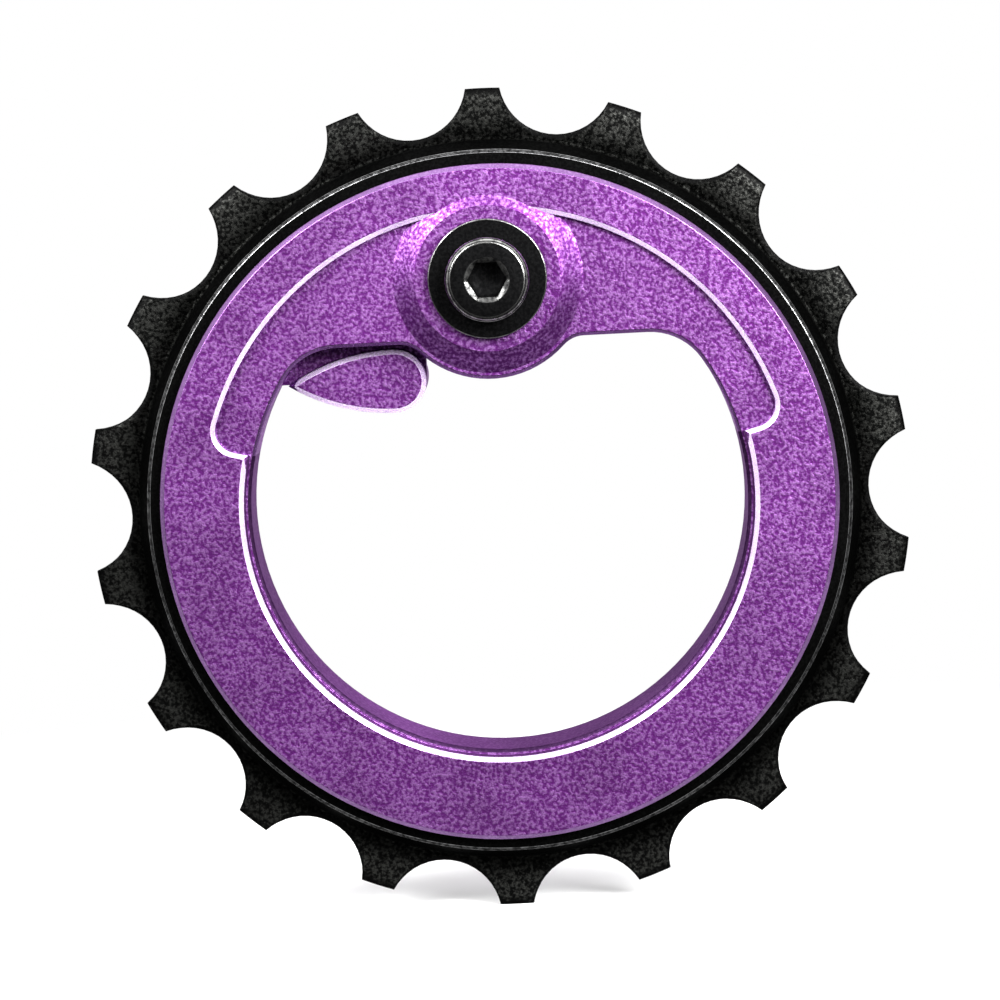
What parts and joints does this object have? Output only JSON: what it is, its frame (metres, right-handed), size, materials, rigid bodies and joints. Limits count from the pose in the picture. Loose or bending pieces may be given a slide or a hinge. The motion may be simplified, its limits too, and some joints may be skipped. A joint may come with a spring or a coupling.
{
  "type": "jockey wheel",
  "caption": "Hollow bicycle jockey wheel: a black toothed ring turns on a thin ball bearing round a fixed purple carrier with an off-centre bolted hub.",
  "frame": {"origin": "centre of the wheel, on the middle plane of its teeth", "axes": "+Y along the wheel's axis from its outer face inwards, +Z from the wheel's centre to the hub, +X to the right seen from the outer face"},
  "size_m": [0.0722, 0.016, 0.0726],
  "materials": {
    "purple_alloy": "bead-blasted purple anodising with bright cut edges",
    "black_alloy": "blasted black anodising",
    "bearing_steel": "ground steel",
    "seal_rubber": "moulded black rubber",
    "cage_polymer": "moulded nylon",
    "spring_steel": "phosphated spring steel",
    "black_steel": "black oxide"
  },
  "bodies": {
    "carrier": {"carrier": "purple_alloy", "inner_race": "bearing_steel", "snap_ring": "spring_steel", "mounting_bolt": "black_steel", "bolt_washer": "black_steel"},
    "toothed_ring": {"toothed_ring": "black_alloy", "outer_race": "bearing_steel", "front_seal": "seal_rubber", "rear_seal": "seal_rubber"},
    "ball_set": {"ball_cage": "cage_polymer", "ball_01": "bearing_steel", "ball_02": "bearing_steel", "ball_03": "bearing_steel", "ball_04": "bearing_steel", "ball_05": "bearing_steel", "ball_06": "bearing_steel", "ball_07": "bearing_steel", "ball_08": "bearing_steel", "ball_09": "bearing_steel", "ball_10": "bearing_steel", "ball_11": "bearing_steel", "ball_12": "bearing_steel", "ball_13": "bearing_steel", "ball_14": "bearing_steel"}
  },
  "joints": [
    {"name": "ring_spin", "type": "hinge", "parent": "carrier", "child": "toothed_ring", "pos_m": [0, 0, 0], "axis": [0, 1, 0], "continuous": true},
    {"name": "ball_orbit", "type": "hinge", "parent": "carrier", "child": "ball_set", "pos_m": [0, 0, 0], "axis": [0, 1, 0], "continuous": true}
  ],
  "couplings": [
    {"joint": "ball_orbit", "follows": "ring_spin", "ratio": 0.52145}
  ]
}
